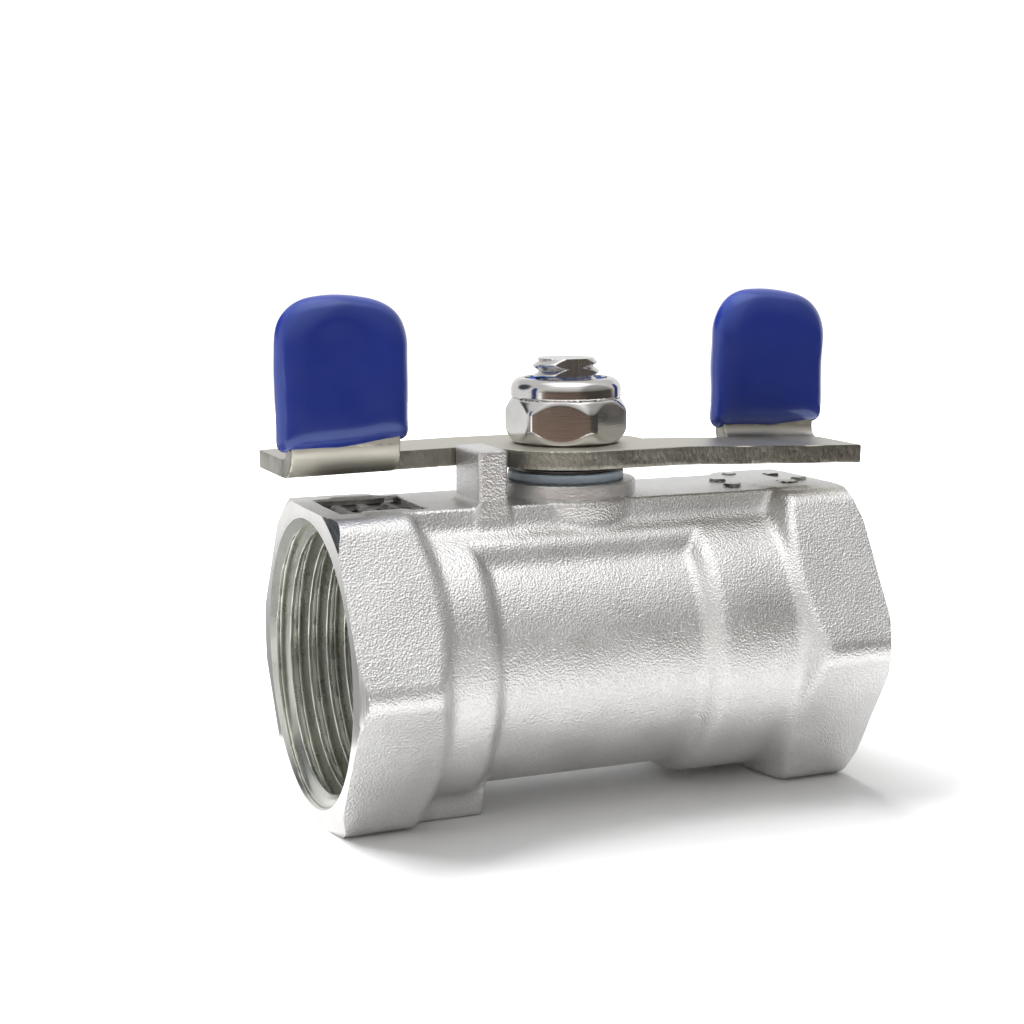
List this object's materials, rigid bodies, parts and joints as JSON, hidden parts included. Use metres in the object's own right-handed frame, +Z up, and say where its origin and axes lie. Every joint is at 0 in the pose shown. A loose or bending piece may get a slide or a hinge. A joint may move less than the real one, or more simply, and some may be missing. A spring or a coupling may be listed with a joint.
{
  "type": "ball valve",
  "caption": "Threaded one-piece ball valve for shutting off water, with hexagon ends, a stop post and a butterfly handle with two dipped vinyl grips.",
  "frame": {"origin": "on the stem's axis at the level of the lower hexagon flats, the middle of the bottom of the object's box", "axes": "+X along the pipe, +Z up along the stem, +Y away from the side with the stop post"},
  "size_m": [0.0727, 0.0416, 0.0601],
  "materials": {
    "cast_steel": "blasted investment casting, fine grain",
    "machined_steel": "turned",
    "polished_steel": "polished",
    "spring_steel": "dark satin",
    "sheet_steel": "satin sheet with sheared edges",
    "ptfe": "waxy",
    "blue_vinyl": "glossy dipped vinyl",
    "blue_nylon": "satin"
  },
  "bodies": {
    "housing": {"valve_body": "cast_steel", "end_retainer": "machined_steel", "retainer_seal": "ptfe", "seat_left": "ptfe", "seat_right": "ptfe", "packing_lower": "ptfe", "packing_upper": "ptfe", "gland_bush": "ptfe"},
    "handle": {"stem": "machined_steel", "thrust_washer": "ptfe", "spring_washer": "spring_steel", "handle_plate": "sheet_steel", "grip_left": "blue_vinyl", "grip_right": "blue_vinyl", "lock_nut": "polished_steel", "nut_insert": "blue_nylon"},
    "ball": {"ball": "polished_steel"}
  },
  "joints": [
    {"name": "handle_turn", "type": "hinge", "parent": "housing", "child": "handle", "pos_m": [0, 0, 0.0399], "axis": [0, 0, 1], "range_deg": [-90, 0]},
    {"name": "ball_turn", "type": "hinge", "parent": "housing", "child": "ball", "pos_m": [0, 0, 0.018], "axis": [0, 0, 1], "range_deg": [-90, 0]}
  ],
  "couplings": [
    {"joint": "ball_turn", "follows": "handle_turn", "ratio": 1}
  ]
}
